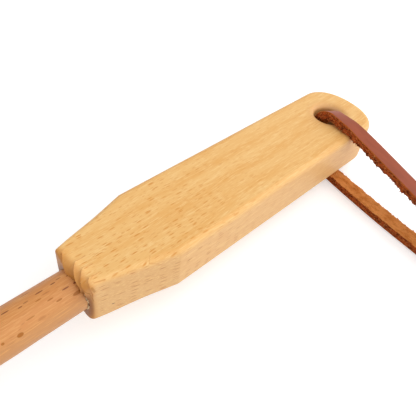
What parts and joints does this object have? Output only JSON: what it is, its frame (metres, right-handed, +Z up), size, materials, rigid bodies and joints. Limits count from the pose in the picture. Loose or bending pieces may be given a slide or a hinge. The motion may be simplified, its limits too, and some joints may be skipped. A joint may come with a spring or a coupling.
{
  "type": "long-handled scrub brush",
  "caption": "Long-handled beech scrub brush: flat tapered grip, round rod, brush head with stiff plant-fibre tufts, and a leather hanging lace.",
  "frame": {"origin": "on the table under the middle of the brush's length, with the lace left out", "axes": "+X from the brush head towards the grip's hanging hole, +Z up from the table; the rod leans down 4.4 degrees towards +X"},
  "size_m": [0.4236, 0.1688, 0.0556],
  "materials": {
    "beech": "oiled, satin",
    "rod_beech": "oiled, satin",
    "plant_fibre": "stiff fibre",
    "brass": "plain",
    "leather": "smooth grain side, rough flesh side"
  },
  "bodies": {
    "brush": {"grip": "beech", "rod": "rod_beech", "head_block": "beech", "tuft_board": "beech", "tuft_row_1": "plant_fibre", "tuft_row_2": "plant_fibre", "tuft_row_3": "plant_fibre", "tuft_row_4": "plant_fibre", "tuft_row_5": "plant_fibre", "draw_wire_1": "brass", "draw_wire_2": "brass", "draw_wire_3": "brass", "draw_wire_4": "brass", "draw_wire_5": "brass", "board_pin_1": "brass", "board_pin_2": "brass", "board_pin_3": "brass", "board_pin_4": "brass"},
    "lace": {"lace_bridge": "leather", "lace_upper": "leather", "lace_lower": "leather", "lace_knot": "leather", "lace_tail_1": "leather", "lace_tail_2": "leather"}
  },
  "joints": [
    {"name": "lace_swing", "type": "hinge", "parent": "brush", "child": "lace", "pos_m": [0.19332, 0.0008, 0.01544], "axis": [0, 0, 1], "range_deg": [0, 190]}
  ]
}
